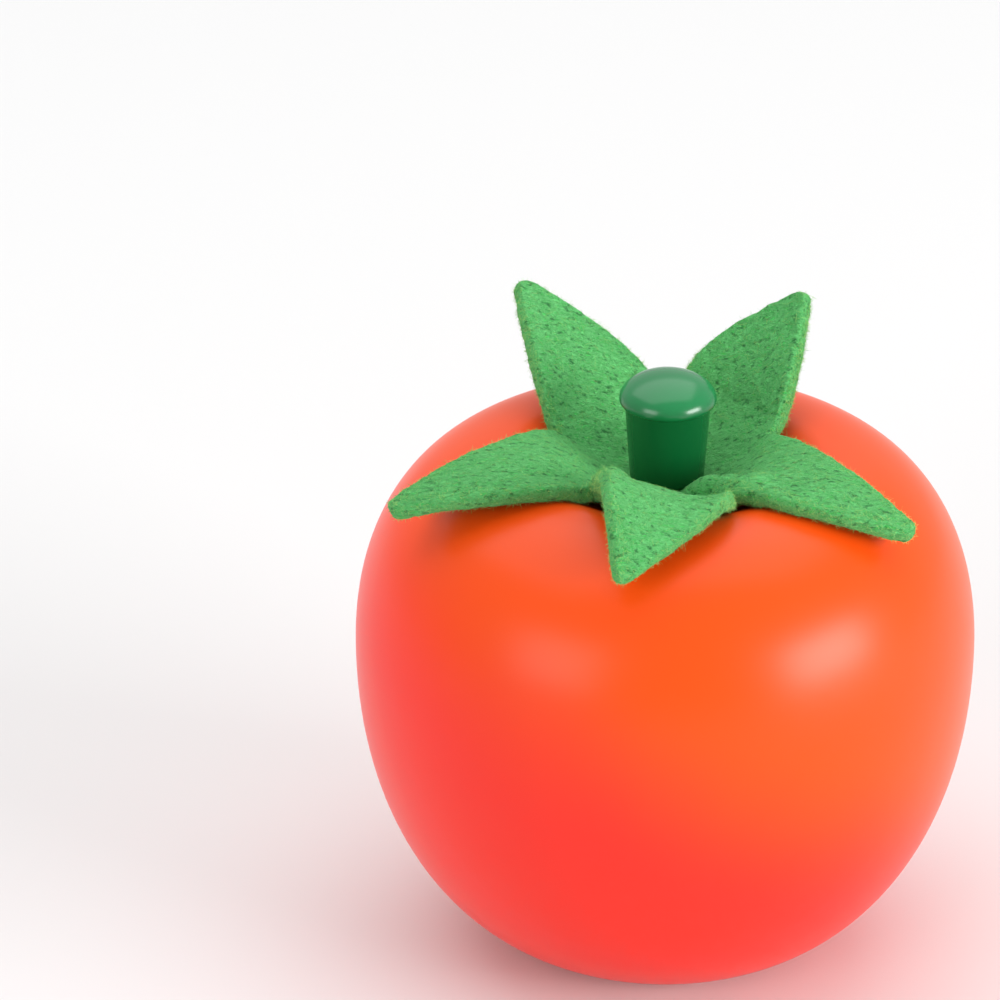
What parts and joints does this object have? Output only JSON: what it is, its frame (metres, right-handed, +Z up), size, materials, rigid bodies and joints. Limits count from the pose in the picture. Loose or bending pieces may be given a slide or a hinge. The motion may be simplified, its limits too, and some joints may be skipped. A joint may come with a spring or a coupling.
{
  "type": "wooden play tomato",
  "caption": "Turned and lacquered wooden tomato with a hollow crown, a felt calyx with flexible lobes and a glued peg stem; it stands on a small flat base.",
  "frame": {"origin": "centre of the flat base that the body stands on", "axes": "+Z up along the axis that the body and stem were turned on; the front felt lobe points to -Y"},
  "size_m": [0.06, 0.06, 0.0642],
  "materials": {
    "red_lacquer": "satin gloss lacquer, orange on top and redder lower down",
    "green_lacquer": "satin gloss lacquer",
    "felt": "needled felt, fibrous"
  },
  "bodies": {
    "tomato": {"body": "red_lacquer", "stem": "green_lacquer", "calyx_centre": "felt"},
    "lobe_front": {"lobe_front": "felt"},
    "lobe_right": {"lobe_right": "felt"},
    "lobe_back_right": {"lobe_back_right": "felt"},
    "lobe_back_left": {"lobe_back_left": "felt"},
    "lobe_left": {"lobe_left": "felt"}
  },
  "joints": [
    {"name": "front_bend", "type": "hinge", "parent": "tomato", "child": "lobe_front", "pos_m": [-0.00032, -0.00929, 0.05101], "axis": [-0.9994, 0.0349, 0], "range_deg": [0, 60], "stiffness_Nm_per_rad": 0.0015},
    {"name": "right_bend", "type": "hinge", "parent": "tomato", "child": "lobe_right", "pos_m": [0.00874, -0.00318, 0.05101], "axis": [-0.342, -0.9397, 0], "range_deg": [0, 60], "stiffness_Nm_per_rad": 0.0015},
    {"name": "back_right_bend", "type": "hinge", "parent": "tomato", "child": "lobe_back_right", "pos_m": [0.00573, 0.00733, 0.05101], "axis": [0.788, -0.6157, 0], "range_deg": [-34, 30], "stiffness_Nm_per_rad": 0.0015},
    {"name": "back_left_bend", "type": "hinge", "parent": "tomato", "child": "lobe_back_left", "pos_m": [-0.0052, 0.00771, 0.05101], "axis": [0.829, 0.5592, 0], "range_deg": [-20, 45], "stiffness_Nm_per_rad": 0.0015},
    {"name": "left_bend", "type": "hinge", "parent": "tomato", "child": "lobe_left", "pos_m": [-0.00894, -0.00256, 0.05101], "axis": [-0.2756, 0.9613, 0], "range_deg": [0, 60], "stiffness_Nm_per_rad": 0.0015}
  ]
}
